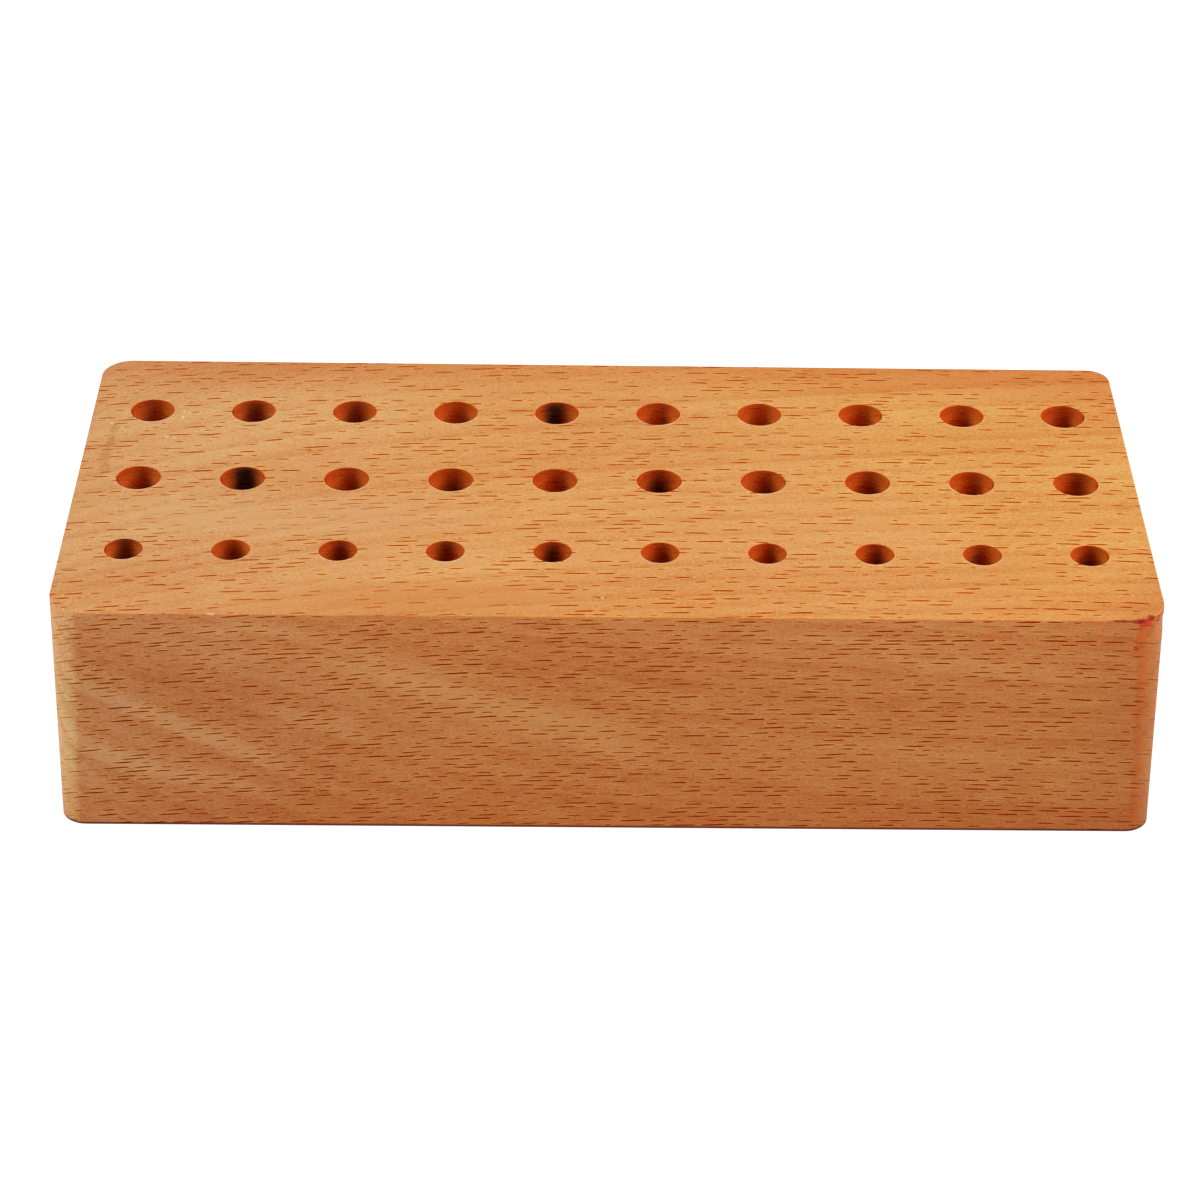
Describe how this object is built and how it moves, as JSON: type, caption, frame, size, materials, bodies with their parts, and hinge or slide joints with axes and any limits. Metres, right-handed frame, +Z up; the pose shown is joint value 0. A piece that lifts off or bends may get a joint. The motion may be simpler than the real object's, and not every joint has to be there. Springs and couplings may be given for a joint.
{
  "type": "screwdriver holder",
  "caption": "Solid rectangular beech block with rounded upright corners and a grid of blind drilled holes that hold screwdrivers upright on a bench.",
  "frame": {"origin": "on the underside, in the middle of the block's length and depth", "axes": "+X along the rows of holes, to the right seen from the front; +Y to the back; +Z up, out of the holes' mouths"},
  "size_m": [0.2154, 0.0984, 0.05],
  "materials": {
    "beech": "steamed beech under a clear satin oil, pinkish orange brown with short dark ray flecks, darker end-grain and drill scorch inside the holes"
  },
  "bodies": {
    "root": {"beech_block": "beech"}
  },
  "joints": []
}
